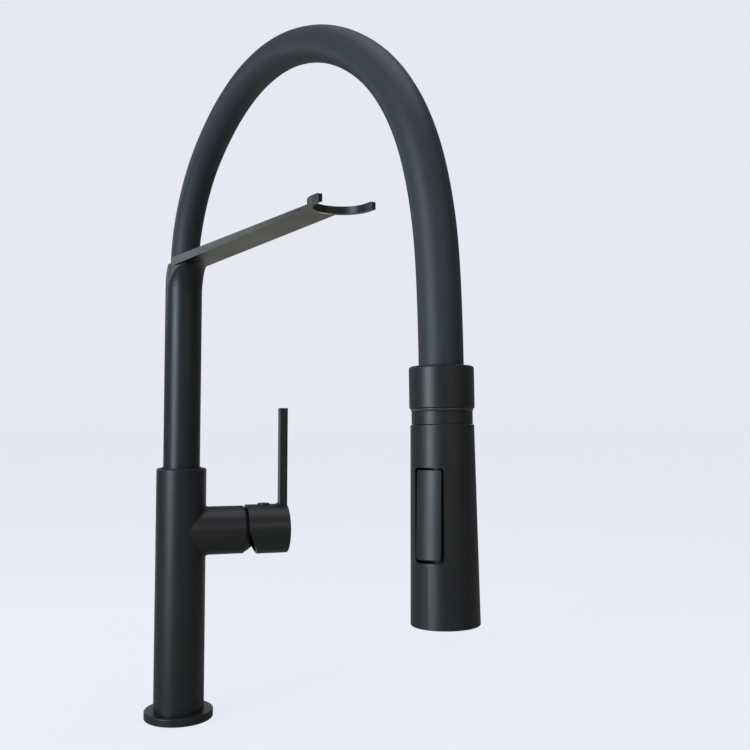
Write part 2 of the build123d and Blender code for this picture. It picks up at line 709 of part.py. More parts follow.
UNDERSIDE_TIP = FORK_REACH - FORK_BORE_R
MAGNET_REACH = UNDERSIDE_TIP - MAGNET_T / 2 - MAGNET_WALL
with BuildPart() as spout_arm:
    with BuildSketch(SPOUT_SIDE):
        with BuildLine():
            Polyline(
                (TUBE_R, SHOULDER_BOTTOM),
                (TUBE_R, COLLAR_BOTTOM),
                (MOUTH_R, COLLAR_BOTTOM),
                (MOUTH_R, COLLAR_TOP),
                (SHOULDER_R, COLLAR_TOP),
            )
            TangentArc((TUBE_R, SHOULDER_BOTTOM), (SHOULDER_R, COLLAR_TOP), tangent=(0, 1))
        make_face()
    revolve(axis=Axis.Z)
    # The bar tapers in width and in thickness towards the fork.
    with BuildSketch(SPOUT.offset(ARM_TOP)):
        Polygon(
            (ARM_START, -ARM_ROOT_HALF),
            (UNDERSIDE_TIP, -ARM_TIP_HALF),
            (UNDERSIDE_TIP, ARM_TIP_HALF),
            (ARM_START, ARM_ROOT_HALF),
            align=None,
        )
    extrude(amount=-ARM_ROOT_T)
    with BuildSketch(SPOUT_SIDE):
        Polygon(
            (TUBE_R, ARM_TOP - ARM_ROOT_T - CUT_PAST),
            (TUBE_R, ARM_TOP - ARM_ROOT_T),
            (UNDERSIDE_TIP + CUT_PAST, ARM_TOP - ARM_TIP_T),
            (UNDERSIDE_TIP + CUT_PAST, ARM_TOP - ARM_ROOT_T - CUT_PAST),
            align=None,
        )
    extrude(amount=2 * TUBE_R, both=True, mode=Mode.SUBTRACT)
    # The fork is a U that is open towards the spray head.
    with BuildSketch(SPOUT.offset(ARM_TOP - FORK_T)):
        with Locations((FORK_REACH, 0)):
            Circle(FORK_R)
        with Locations((FORK_REACH + FORK_TIP / 2, 0)):
            Rectangle(FORK_TIP, 2 * FORK_R)
        with Locations((FORK_REACH + FORK_TIP + FORK_R, 0)):
            Rectangle(2 * FORK_R, 2 * FORK_R, mode=Mode.SUBTRACT)
    extrude(amount=FORK_T)
    with BuildSketch(SPOUT.offset(ARM_TOP - 2 * FORK_T)):
        with Locations((FORK_REACH, 0)):
            Circle(FORK_BORE_R)
        with Locations((FORK_REACH + FORK_R, 0)):
            Rectangle(2 * FORK_R, 2 * FORK_BORE_R)
    extrude(amount=3 * FORK_T, mode=Mode.SUBTRACT)
    # The prongs end in soft edges.
    prong_ends = spout_arm.faces().filter_by(lambda face: face.normal_at().dot(REACH) > ALONG)
    fillet(prong_ends.sort_by(Axis((0, 0, 0), REACH))[-2:].edges(), FORK_EDGE_R)
    # A soft flare carries the tube into the underside of the bar.
    for share in FLARE_STEPS:
        flare = FLARE_H - sqrt(FLARE_H**2 - (share * FLARE_H) ** 2)
        nose_r = TUBE_R - FLARE_NARROWING * share**3
        section_z = ARM_TOP - ARM_ROOT_T + FLARE_OVERLAP - FLARE_H * (1 - share)
        root_r = shoulder_radius(section_z) - WALL_GAP
        with BuildSketch(SPOUT.offset(section_z)):
            with BuildLine():
                Line((0, root_r), (TUBE_R + flare - nose_r, nose_r))
                RadiusArc((TUBE_R + flare - nose_r, nose_r), (TUBE_R + flare, 0), nose_r)
                RadiusArc((TUBE_R + flare, 0), (TUBE_R + flare - nose_r, -nose_r), nose_r)
                Line((TUBE_R + flare - nose_r, -nose_r), (0, -root_r))
                Line((0, -root_r), (0, root_r))
            make_face()
    loft()
    with BuildSketch(Plane.XY.offset(COLLAR_BOTTOM - SPIGOT_L)):
        Circle(TUBE_BORE_R - SLIP_GAP)
        Circle(SPIGOT_BORE_R, mode=Mode.SUBTRACT)
    extrude(amount=SPIGOT_L + CUT_PAST)
    with BuildSketch(Plane.XY.offset(COLLAR_BOTTOM + FERRULE_LIFT)):
        Circle(TUBE_BORE_R)
    extrude(amount=FERRULE_SEAT_H, mode=Mode.SUBTRACT)
    with BuildSketch(Plane.XY.offset(COLLAR_BOTTOM + FERRULE_LIFT)):
        Circle(MOUTH_R)
    extrude(amount=ARM_TOP - COLLAR_BOTTOM, mode=Mode.SUBTRACT)
    with BuildSketch(Plane.XY.offset(COLLAR_BOTTOM - SPIGOT_L - CUT_PAST)):
        Circle(SPIGOT_BORE_R)
    extrude(amount=SPIGOT_CUT, mode=Mode.SUBTRACT)
    with BuildSketch(SPOUT.offset(ARM_TOP - FORK_T)):
        with Locations((MAGNET_REACH, 0)):
            Rectangle(MAGNET_T + WALL_GAP, MAGNET_W + WALL_GAP)
    extrude(amount=MAGNET_H, mode=Mode.SUBTRACT)
save(spout_arm, "spout_arm")

with BuildPart() as dock_magnet:
    with BuildSketch(SPOUT.offset(ARM_TOP - FORK_T)):
        with Locations((MAGNET_REACH, 0)):
            Rectangle(MAGNET_T, MAGNET_W)
    extrude(amount=MAGNET_H)
save(dock_magnet, "dock_magnet")

with BuildPart() as hose_root_ferrule:
    with BuildSketch(Plane.XY.offset(COLLAR_BOTTOM + FERRULE_LIFT)):
        Circle(TUBE_BORE_R - SLIP_GAP)
    extrude(amount=HOSE_ROUTE[0][1] - COLLAR_BOTTOM - FERRULE_DROP)
    with BuildSketch(Plane.XY.offset(COLLAR_BOTTOM + FERRULE_LIFT)):
        Circle(HOSE_BORE_R - FERRULE_PLAY)
    extrude(amount=FERRULE_BARB_L)
    with BuildSketch(Plane.XY.offset(COLLAR_BOTTOM)):
        Circle(FERRULE_BORE_R)
    extrude(amount=2 * FERRULE_BARB_L, mode=Mode.SUBTRACT)
save(hose_root_ferrule, "hose_root_ferrule")

# ---------------------------------------------------------------- hose


def bend_radii(route):
    radii = []
    for before, corner, after in zip(route, route[1:], route[2:]):
        run_in = Vector(*corner) - Vector(*before)
        run_out = Vector(*after) - Vector(*corner)
        turn = run_in.get_angle(run_out)
        radii.append(BEND_SHARE * min(run_in.length, run_out.length) / tan(radians(turn / 2)))
    return radii


HOSE_RADII = bend_radii(HOSE_ROUTE)
print("hose bend radii", [round(radius) for radius in HOSE_RADII])
with BuildPart() as silicone_hose:
    with BuildLine(SPOUT_SIDE) as hose_line:
        FilletPolyline(*HOSE_ROUTE, radius=HOSE_RADII)
    with BuildSketch(hose_line.line ^ 0):
        Circle(HOSE_R)
        Circle(HOSE_BORE_R, mode=Mode.SUBTRACT)
    sweep()
save(silicone_hose, "silicone_hose")
HOSE_LENGTH = sum(edge.length for edge in hose_line.edges())
HOSE_VOLUME = pi * (HOSE_R**2 - HOSE_BORE_R**2) * HOSE_LENGTH
print("hose length", round(HOSE_LENGTH, 1))
print("hose volume share", round(silicone_hose.part.volume / HOSE_VOLUME, 4))

# ---------------------------------------------------------------- spray head

HEAD_UP = REACH * -sin(radians(HEAD_TILT)) + Vector(0, 0, cos(radians(HEAD_TILT)))
HEAD = Plane(
    origin=REACH * HEAD_REACH + Vector(0, 0, HEAD_HEIGHT),
    x_dir=REACH.rotate(Axis.Z, HEAD_TURN),
    z_dir=HEAD_UP,
)
HEAD_SIDE = Plane(origin=HEAD.origin, x_dir=HEAD.x_dir, z_dir=-HEAD.y_dir)
HEAD_AXIS = Axis(HEAD.origin, HEAD.z_dir)


def grip_radius(depth):
    share = (depth - GRIP_TOP) / (GRIP_BOTTOM - GRIP_TOP)
    return GRIP_TOP_R + share * (GRIP_BOTTOM_R - GRIP_TOP_R)


def turned(profile):
    with BuildPart() as piece:
        with BuildSketch(HEAD_SIDE):
            Polygon(*[(radius, -depth) for radius, depth in profile], align=None)
        revolve(axis=HEAD_AXIS)
    return piece


save(
    turned(
        [
            (COLLAR_MOUTH_R, COLLAR_LIP),
            (COLLAR_LIP_R, 0),
            *[(COLLAR_R - inset, drop) for inset, drop in COLLAR_ROUND],
            (COLLAR_R, COLLAR_LENGTH - COLLAR_CHAMFER),
            (COLLAR_R - COLLAR_CHAMFER, COLLAR_LENGTH),
            (COLLAR_BORE_R, COLLAR_LENGTH),
            (COLLAR_BORE_R, COLLAR_ROOF),
            (COLLAR_MOUTH_R, COLLAR_ROOF),
        ]
    ),
    "docking_collar",
)
save(
    ring(HEAD.offset(-STEEL_RING_BOTTOM), STEEL_RING_R, STEEL_RING_BORE_R, STEEL_RING_H),
    "dock_steel_ring",
)
save(
    turned(
        [
            (TRIM_BORE_R, COLLAR_LENGTH),
            (TRIM_R - TRIM_EDGE, COLLAR_LENGTH),
            (TRIM_R, TRIM_MIDDLE),
            (TRIM_R - TRIM_EDGE, TRIM_BOTTOM),
            (TRIM_BORE_R, TRIM_BOTTOM),
        ]
    ),
    "collar_trim_ring",
)
save(
    turned(
        [
            (FITTING_BORE_R, -FITTING_BARB_RISE),
            (FITTING_BARB_R, -FITTING_BARB_RISE),
            (FITTING_BARB_R, FITTING_FLANGE_TOP),
            (FITTING_FLANGE_R, FITTING_FLANGE_TOP),
            (FITTING_FLANGE_R, FITTING_FLANGE_BOTTOM),
            (FITTING_R, FITTING_FLANGE_BOTTOM),
            (FITTING_R, FITTING_SHOULDER_TOP),
            (FITTING_SHOULDER_R, FITTING_SHOULDER_TOP),
            (FITTING_SHOULDER_R, FITTING_SHOULDER_BOTTOM),
            (FITTING_R, FITTING_SHOULDER_BOTTOM),
            (FITTING_R, FITTING_BOTTOM),
            (FITTING_BORE_R, FITTING_BOTTOM),
        ]
    ),
    "hose_end_fitting",
)
save(ring(HEAD.offset(-NECK_BOTTOM), NECK_R, NECK_BORE_R, NECK_BOTTOM - NECK_TOP), "neck_sleeve")
save(
    ring(HEAD.offset(-SWIVEL_NUT_BOTTOM), SWIVEL_NUT_R, FITTING_R + WALL_GAP, SWIVEL_NUT_H),
    "head_swivel_nut",
)

with BuildPart() as inner_core:
    with BuildSketch(HEAD_SIDE):
        Polygon(
            (CORE_BORE_R, -CORE_SEAT_BOTTOM),
            (FITTING_R + CORE_FIT, -CORE_SEAT_BOTTOM),
            (FITTING_R + CORE_FIT, -CORE_SHOULDER_BOTTOM),
            (FITTING_SHOULDER_R + WALL_GAP, -CORE_SHOULDER_BOTTOM),
            (FITTING_SHOULDER_R + WALL_GAP, -FITTING_SHOULDER_TOP),
            (SWIVEL_NUT_R, -FITTING_SHOULDER_TOP),
            (SWIVEL_NUT_R, -CORE_HEAD_BOTTOM),
            (CORE_R, -CORE_TAPER_BOTTOM),
            (CORE_R, -CORE_BOTTOM),
            (CORE_BORE_R, -CORE_BOTTOM),
            align=None,
        )
    revolve(axis=HEAD_AXIS)
    # Two ears carry the rocker's pin.
    ROCKER_MIDDLE = ROCKER_TOP + ROCKER_WINDOW_H / 2
    with BuildSketch(HEAD.offset(-ROCKER_MIDDLE - EAR_H / 2)):
        with Locations((EAR_X, EAR_Y), (EAR_X, -EAR_Y)):
            Rectangle(EAR_L, EAR_T)
    extrude(amount=EAR_H)
    with BuildSketch(Plane(HEAD.origin, x_dir=HEAD.x_dir, z_dir=-HEAD.y_dir)):
        with Locations((ROCKER_PIN_X, -ROCKER_MIDDLE)):
            Circle(PIVOT_PIN_R)
    extrude(amount=CORE_R, both=True, mode=Mode.SUBTRACT)
    # A notch clears the rocker's lug, and a slot lets its finger reach the spool.
    with BuildSketch(HEAD.offset(-ROCKER_MIDDLE - NOTCH_HALF)):
        with Locations((NOTCH_X + CORE_R, 0)):
            Rectangle(2 * CORE_R, 2 * LUG_HALF + NOTCH_PLAY)
    extrude(amount=2 * NOTCH_HALF, mode=Mode.SUBTRACT)
    with BuildSketch(HEAD.offset(-ROCKER_MIDDLE - NOTCH_HALF)):
        with Locations((CORE_BORE_R, 0)):
            Rectangle(CORE_R, 2 * FINGER_HALF + NOTCH_PLAY)
    extrude(amount=2 * NOTCH_HALF, mode=Mode.SUBTRACT)
save(inner_core, "inner_core")

with BuildPart() as rocker_pin:
    with BuildSketch(HEAD_SIDE):
        with Locations((ROCKER_PIN_X, -ROCKER_MIDDLE)):
            Circle(PIVOT_PIN_R)
    extrude(amount=PIVOT_PIN_HALF, both=True)
save(rocker_pin, "rocker_pin")

with BuildPart() as grip_shell:
    with BuildSketch(HEAD_SIDE):
        Polygon(
            (GRIP_NECK_R, -GRIP_TOP),
            (GRIP_TOP_R - GRIP_TOP_EDGE, -GRIP_TOP),
            (GRIP_TOP_R, -GRIP_TOP - GRIP_TOP_EDGE),
            (GRIP_BOTTOM_R, -GRIP_BOTTOM + GRIP_END_EDGE),
            (GRIP_BOTTOM_R - GRIP_END_EDGE, -GRIP_BOTTOM),
            (GRIP_BOTTOM_R - GRIP_WALL, -GRIP_BOTTOM),
            (grip_radius(GRIP_INNER_DEPTH) - GRIP_WALL, -GRIP_ROOF_BOTTOM),
            (GRIP_NECK_R, -GRIP_ROOF_BOTTOM),
            align=None,
        )
    revolve(axis=HEAD_AXIS)
    with BuildSketch(Plane(HEAD.origin, x_dir=HEAD.y_dir, z_dir=HEAD.x_dir)):
        with Locations((0, -ROCKER_MIDDLE)):
            RectangleRounded(ROCKER_WINDOW_W, ROCKER_WINDOW_H, ROCKER_WINDOW_R)
    extrude(amount=2 * GRIP_BOTTOM_R, mode=Mode.SUBTRACT)
save(grip_shell, "grip_shell")

# The rocker rests with its upper end pressed in.
PIVOT = HEAD.origin + HEAD.x_dir * ROCKER_PIN_X - HEAD.z_dir * ROCKER_MIDDLE
ROCKER_Z = HEAD.z_dir.rotate(Axis((0, 0, 0), HEAD.y_dir), -ROCKER_REST)
ROCKER_X = HEAD.x_dir.rotate(Axis((0, 0, 0), HEAD.y_dir), -ROCKER_REST)
ROCKER = Plane(origin=PIVOT, x_dir=ROCKER_X, z_dir=ROCKER_Z)
ROCKER_FRONT = Plane(origin=PIVOT, x_dir=HEAD.y_dir, z_dir=ROCKER_X)
with BuildPart() as mode_rocker:
    with BuildSketch(ROCKER.offset(-ROCKER_H / 2)):
        with Locations((-ROCKER_PIN_X, 0)):
            Circle(ROCKER_FACE_R)
    extrude(amount=ROCKER_H)
    with BuildSketch(ROCKER_FRONT.offset(ROCKER_BACK - ROCKER_PIN_X)):
        RectangleRounded(ROCKER_W, ROCKER_H, ROCKER_CORNER_R)
    extrude(amount=ROCKER_FACE_R, mode=Mode.INTERSECT)
    pad_face = mode_rocker.faces().filter_by(GeomType.CYLINDER).sort_by(SortBy.AREA)[-1]
    fillet(pad_face.edges(), ROCKER_EDGE_R)
    with BuildSketch(ROCKER_FRONT):
        Rectangle(2 * LUG_HALF, 2 * LUG_R)
    extrude(amount=ROCKER_BACK - ROCKER_PIN_X + CUT_PAST)
    with BuildSketch(Plane(origin=PIVOT, x_dir=ROCKER_X, z_dir=-HEAD.y_dir)):
        Circle(LUG_R)
    extrude(amount=LUG_HALF, both=True)
    with BuildSketch(ROCKER_FRONT):
        Rectangle(2 * FINGER_HALF, 2 * FINGER_HALF)
    extrude(amount=-FINGER_REACH)
    with BuildSketch(Plane(origin=PIVOT, x_dir=ROCKER_X, z_dir=-HEAD.y_dir)):
        Circle(PIVOT_PIN_R + SLIP_GAP)
    extrude(amount=ROCKER_W, both=True, mode=Mode.SUBTRACT)
save(mode_rocker, "mode_rocker")

with BuildPart() as diverter_spool:
    with BuildSketch(HEAD.offset(-ROCKER_MIDDLE - SPOOL_HALF)):
        Circle(SPOOL_R)
    extrude(amount=2 * SPOOL_HALF)
    with BuildSketch(HEAD.offset(-ROCKER_MIDDLE - GROOVE_HALF)):
        Circle(SPOOL_R + CUT_PAST)
        Circle(SPOOL_WAIST_R, mode=Mode.SUBTRACT)
    extrude(amount=2 * GROOVE_HALF, mode=Mode.SUBTRACT)
    with BuildSketch(HEAD.offset(-ROCKER_MIDDLE - SPOOL_HALF - CUT_PAST)):
        with PolarLocations(SPOOL_R, FLUTES):
            Circle(FLUTE_R)
    extrude(amount=2 * SPOOL_HALF + 2 * CUT_PAST, mode=Mode.SUBTRACT)
save(diverter_spool, "diverter_spool")

save(ring(HEAD.offset(-VALVE_BOTTOM), CORE_BORE_R - SLIP_GAP, VALVE_BORE_R, VALVE_H), "check_valve")
save(disc(HEAD.offset(-SCREEN_BOTTOM), CORE_BORE_R - SLIP_GAP, SCREEN_T), "filter_screen")
DIVIDER_R = GRIP_BOTTOM_R - GRIP_WALL - DIVIDER_GAP
save(ring(HEAD.offset(-DIVIDER_BOTTOM), DIVIDER_R, DIVIDER_BORE_R, DIVIDER_T), "spray_divider")

with BuildPart() as spray_face:
    with BuildSketch(HEAD.offset(-FACE_BOTTOM)):
        Circle(FACE_R)
        Circle(AERATOR_R + WALL_GAP, mode=Mode.SUBTRACT)
        for ring_r, count in NOZZLE_RINGS:
            with PolarLocations(ring_r, count):
                Circle(NOZZLE_R, mode=Mode.SUBTRACT)
    extrude(amount=FACE_BOTTOM - FACE_TOP)
save(spray_face, "spray_face")

with BuildPart() as spray_nozzles:
    with BuildSketch(HEAD.offset(-FACE_BOTTOM - NOZZLE_REACH)):
        for ring_r, count in NOZZLE_RINGS:
            with PolarLocations(ring_r, count):
                Circle(NOZZLE_R)
    extrude(amount=FACE_BOTTOM - FACE_TOP + NOZZLE_REACH + NOZZLE_ROOT)
save(spray_nozzles, "spray_nozzles")

with BuildPart() as aerator:
    with BuildSketch(HEAD.offset(-FACE_BOTTOM)):
        Circle(AERATOR_R)
        Circle(AERATOR_R - AERATOR_WALL, mode=Mode.SUBTRACT)
    extrude(amount=AERATOR_H)
    with BuildSketch(HEAD.offset(-FACE_BOTTOM + MESH_LIFT)):
        Circle(MESH_R)
        with GridLocations(MESH_PITCH, MESH_PITCH, MESH_COUNT, MESH_COUNT):
            Rectangle(MESH_HOLE, MESH_HOLE, mode=Mode.SUBTRACT)
    extrude(amount=MESH_T)
save(aerator, "aerator")
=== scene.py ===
# %% [markdown]
# # Pull down kitchen faucet
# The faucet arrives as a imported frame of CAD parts. Each one already has its place and its body,
# so this lesson adds what CAD doesn't have: finishes, soft edges, threads and the flexible hose.

# %% Load the frame
import json
from math import atan2, cos, degrees, hypot, pi, radians, sin, sqrt

import bpy
from mathutils import Matrix, Vector


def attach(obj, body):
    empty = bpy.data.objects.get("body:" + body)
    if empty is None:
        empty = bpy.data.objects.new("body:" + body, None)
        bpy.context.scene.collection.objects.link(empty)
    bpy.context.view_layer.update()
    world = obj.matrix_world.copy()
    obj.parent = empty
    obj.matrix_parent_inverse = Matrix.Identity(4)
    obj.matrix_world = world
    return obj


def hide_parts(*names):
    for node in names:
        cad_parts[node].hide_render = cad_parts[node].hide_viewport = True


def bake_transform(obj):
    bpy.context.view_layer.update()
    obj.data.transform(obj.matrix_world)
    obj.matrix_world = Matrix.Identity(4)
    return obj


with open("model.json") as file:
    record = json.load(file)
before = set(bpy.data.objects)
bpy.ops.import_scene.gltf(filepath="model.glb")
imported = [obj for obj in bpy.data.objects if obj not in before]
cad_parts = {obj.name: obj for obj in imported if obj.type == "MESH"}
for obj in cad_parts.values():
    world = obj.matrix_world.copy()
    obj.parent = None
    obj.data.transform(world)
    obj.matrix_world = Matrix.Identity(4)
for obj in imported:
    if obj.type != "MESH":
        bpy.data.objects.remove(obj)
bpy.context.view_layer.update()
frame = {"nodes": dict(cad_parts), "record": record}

nodes = frame["nodes"]
MM = 0.001

# %% [markdown]
# ## Where things are
# The riser stands on the origin. The spout swings round it, and here it points towards the front
# and a little to the right. The spray head has its own tilted axis. Each of its pieces could be
# drawn tilted, but it is easier to model them upright on the origin, with the head's top at zero,
# and then to put them all in place by one matrix.

# %% The spout's direction and the head's own frame
SPOUT_ANGLE = radians(-74.5)
HEAD_TILT = radians(1.5)
HEAD_TURN = radians(-64.2)
HEAD_REACH = 327.9
HEAD_HEIGHT = 252.7
reach = Vector((cos(SPOUT_ANGLE), sin(SPOUT_ANGLE), 0))
up = Vector((0, 0, 1))
head_top = reach * HEAD_REACH * MM + up * HEAD_HEIGHT * MM
head_up = up * cos(HEAD_TILT) - reach * sin(HEAD_TILT)
toward = Matrix.Rotation(HEAD_TURN, 3, "Z") @ reach
head_x = (toward - head_up * toward.dot(head_up)).normalized()
head_y = head_up.cross(head_x)
head_axes = Matrix((head_x, head_y, head_up)).transposed()
head_place = Matrix.Translation(head_top) @ head_axes.to_4x4()
print("head top", head_top, "head's side faces", degrees(atan2(head_x.y, head_x.x)))

# %% [markdown]
# ## Camera
# The camera stands a little left of the front, at half the faucet's height, and looks slightly
# up with a normal lens. It could be aimed with a constraint, but turn, pitch and roll are plain
# numbers that are easy to change one at a time. The Standard view keeps the blacks deep.

# %% The camera
CAMERA_TURN = radians(-18.0)
CAMERA_PITCH = radians(2.775)
CAMERA_ROLL = radians(0.145)
CAMERA_PLACE = Vector((-76.1, -717.8, 227.7)) * MM
SENSOR_WIDTH = 36.0
LENS = 43.65
UPRIGHT = radians(90)
camera = bpy.data.objects.new("camera", bpy.data.cameras.new("camera"))
bpy.context.collection.objects.link(camera)
camera.data.sensor_width = SENSOR_WIDTH
camera.data.lens = LENS
look = Matrix.Rotation(CAMERA_TURN, 4, "Z") @ Matrix.Rotation(UPRIGHT + CAMERA_PITCH, 4, "X")
roll = Matrix.Rotation(CAMERA_ROLL, 4, "Z")
camera.matrix_world = Matrix.Translation(CAMERA_PLACE) @ look @ roll
bpy.context.scene.camera = camera
bpy.context.scene.view_settings.view_transform = "Standard"
print("camera at", camera.matrix_world.translation)

# %% [markdown]
# ## Hose
# The hose is one smooth silicone tube, from the riser over the top and down into the head's
# collar. A curve with a round bevel would draw it too, but it has no bore and no real end faces.
# So the line is a NURBS spline, and a mesh tube with an inner wall follows points read from it.
# The mesh has a ring of faces at each point.

# %% The hose's line
HOSE_ROUTE = [
    (0.0, 326.0),
    (0.5, 356.0),
    (11.0, 386.0),
    (30.0, 413.0),
    (55.0, 433.0),
    (84.0, 449.0),
    (119.0, 460.0),
    (161.0, 462.5),
    (204.0, 454.0),
    (243.0, 437.0),
    (279.0, 411.0),
    (306.0, 376.0),
    (321.0, 335.0),
    (326.9, 291.0),
    (328.05, 247.0),
]
HOSE_RADIUS = 10.75 * MM
HOSE_BORE = 6.5 * MM
LINE_STEPS = 12
LINE_ORDER = 3
route_points = [reach * (s * MM) + up * (z * MM) for s, z in HOSE_ROUTE]


def spline_points(points):
    """Points along the smooth NURBS line that has these control points."""
    data = bpy.data.curves.new("hose_line", "CURVE")
    data.dimensions = "3D"
    data.resolution_u = LINE_STEPS
    spline = data.splines.new("NURBS")
    spline.points.add(len(points) - 1)
    for control, place in zip(spline.points, points):
        control.co = (*place, 1.0)
    spline.order_u = LINE_ORDER
    spline.use_endpoint_u = True
    holder = bpy.data.objects.new("hose_line", data)
    bpy.context.collection.objects.link(holder)
    bpy.context.view_layer.update()
    line = bpy.data.meshes.new_from_object(holder)
    places = [vertex.co.copy() for vertex in line.vertices]
    bpy.data.objects.remove(holder)
    return places


hose_path = spline_points(route_points)

# %% The hose's tube
HOSE_SIDES = 48


def tube_mesh(name, path, outer, inner, sides):
    """A hollow tube round a path that stays in one upright plane, with closed ends."""
    side = reach.cross(up)
    verts = []
    for i, centre in enumerate(path):
        before = path[max(i - 1, 0)]
        after = path[min(i + 1, len(path) - 1)]
        along = (after - before).normalized()
        out = side.cross(along)
        for radius in (outer, inner):
            for k in range(sides):
                turn = 2 * pi * k / sides
                verts.append(centre + (side * cos(turn) + out * sin(turn)) * radius)
    faces = []
    ring = 2 * sides
    for i in range(len(path) - 1):
        for k in range(sides):
            n = (k + 1) % sides
            a, b = i * ring, (i + 1) * ring
            faces.append((a + k, a + n, b + n, b + k))
            faces.append((a + sides + n, a + sides + k, b + sides + k, b + sides + n))
    last = (len(path) - 1) * ring
    for k in range(sides):
        n = (k + 1) % sides
        faces.append((n, k, sides + k, sides + n))
        faces.append((last + k, last + n, last + sides + n, last + sides + k))
    mesh = bpy.data.meshes.new(name)
    mesh.from_pydata([tuple(v) for v in verts], [], faces)
    mesh.validate()
    tube = bpy.data.objects.new(name, mesh)
    bpy.context.collection.objects.link(tube)
    for face in mesh.polygons:
        face.use_smooth = True
    return tube


hose = tube_mesh("hose", hose_path, HOSE_RADIUS, HOSE_BORE, HOSE_SIDES)
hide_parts("silicone_hose")
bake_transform(hose)

# %% [markdown]
# ## Shared effects
# Two effects turn up in many finishes. Powder coat and moulded plastic have a fine pebbled
# skin, and machined metal has lines that follow the tool. Everything is also a little uneven in
# tone and gloss. The nodes could be repeated in every material, but a node group is built once
# and used with its own values each time. Each group puts out a height for the bump, and a mask
# for the unevenness.


# %% Helpers for node groups
def new_group(name, inputs, outputs):
    group = bpy.data.node_groups.new(name, "ShaderNodeTree")
    for label, kind, value in inputs:
        socket = group.interface.new_socket(label, in_out="INPUT", socket_type=kind)
        if value is not None:
            socket.default_value = value
    for label, kind in outputs:
        group.interface.new_socket(label, in_out="OUTPUT", socket_type=kind)
    return group, group.nodes.new("NodeGroupInput"), group.nodes.new("NodeGroupOutput")


def add(tree, kind, **values):
    node = tree.nodes.new(kind)
    for key, value in values.items():
        setattr(node, key, value)
    return node


def noise_on(tree, vector, size, octaves, rough=0.5):
    """A noise value in 0..1 on the given place."""
    noise = add(tree, "ShaderNodeTexNoise")
    noise.inputs["Scale"].default_value = size
    noise.inputs["Detail"].default_value = octaves
    noise.inputs["Roughness"].default_value = rough
    tree.links.new(vector, noise.inputs["Vector"])
    return noise.outputs["Fac"]


NOISE_LOW = 0.3
NOISE_HIGH = 0.7


def spread(tree, value, low, high):
    """Maps the usual range of a noise to low..high."""
    node = add(tree, "ShaderNodeMapRange")
    node.inputs["From Min"].default_value = NOISE_LOW
    node.inputs["From Max"].default_value = NOISE_HIGH
    node.inputs["To Min"].default_value = low
    node.inputs["To Max"].default_value = high
    tree.links.new(value, node.inputs["Value"])
    return node.outputs["Result"]


# %% Pebbled skin: a height from fine round grain over broad soft waves
FLOAT = "NodeSocketFloat"
VECTOR = "NodeSocketVector"
SKIN_WAVE_SIZE = 70.0
SKIN_MASK_SIZE = 22.0
SKIN_MASK_DETAIL = 4.0
SKIN_MASK_ROUGH = 0.6
DETAIL = 3.0
skin, skin_in, skin_out = new_group(
    "pebbled_skin",
    [("Place", VECTOR, None), ("Grain", FLOAT, 2600.0), ("Waves", FLOAT, 0.25)],
    [("Height", FLOAT), ("Mask", FLOAT)],
)
grain = add(skin, "ShaderNodeTexVoronoi", feature="SMOOTH_F1")
skin.links.new(skin_in.outputs["Place"], grain.inputs["Vector"])
skin.links.new(skin_in.outputs["Grain"], grain.inputs["Scale"])
waves = noise_on(skin, skin_in.outputs["Place"], SKIN_WAVE_SIZE, DETAIL)
mixed = add(skin, "ShaderNodeMath", operation="MULTIPLY_ADD")
skin.links.new(waves, mixed.inputs[0])
skin.links.new(skin_in.outputs["Waves"], mixed.inputs[1])
skin.links.new(grain.outputs["Distance"], mixed.inputs[2])
skin.links.new(mixed.outputs[0], skin_out.inputs["Height"])
mask = noise_on(skin, skin_in.outputs["Place"], SKIN_MASK_SIZE, SKIN_MASK_DETAIL, SKIN_MASK_ROUGH)
skin.links.new(mask, skin_out.inputs["Mask"])
print("pebbled skin nodes", len(skin.nodes))

# %% Tool lines: fine rings round an upright axis, for machined metal
LINE_SIZE = 1.0
LINE_MASK_SIZE = 60.0
lines, lines_in, lines_out = new_group(
    "tool_lines",
    [("Place", VECTOR, None), ("Stretch", VECTOR, (40.0, 40.0, 9000.0))],
    [("Height", FLOAT), ("Mask", FLOAT)],
)
pull = add(lines, "ShaderNodeVectorMath", operation="MULTIPLY")
lines.links.new(lines_in.outputs["Place"], pull.inputs[0])
lines.links.new(lines_in.outputs["Stretch"], pull.inputs[1])
lines.links.new(noise_on(lines, pull.outputs[0], LINE_SIZE, DETAIL), lines_out.inputs["Height"])
mask = noise_on(lines, lines_in.outputs["Place"], LINE_MASK_SIZE, DETAIL)
lines.links.new(mask, lines_out.inputs["Mask"])
print("tool line nodes", len(lines.nodes))

# %% [markdown]
# ## Finishes
# The black powder coat is the main finish. It is nearly black, quite matte, and a little cold
# in the light. The hose is dark grey silicone, and the hidden parts are brass, steel, ceramic and
# acetal. Each could have its own set of nodes, but they differ only in values. So one recipe
# makes them all: a base colour that drifts between two close tones, a roughness that drifts
# with it, and a bump from one of the shared effects.


# %% The recipe
COAT_ROUGHNESS = 0.25


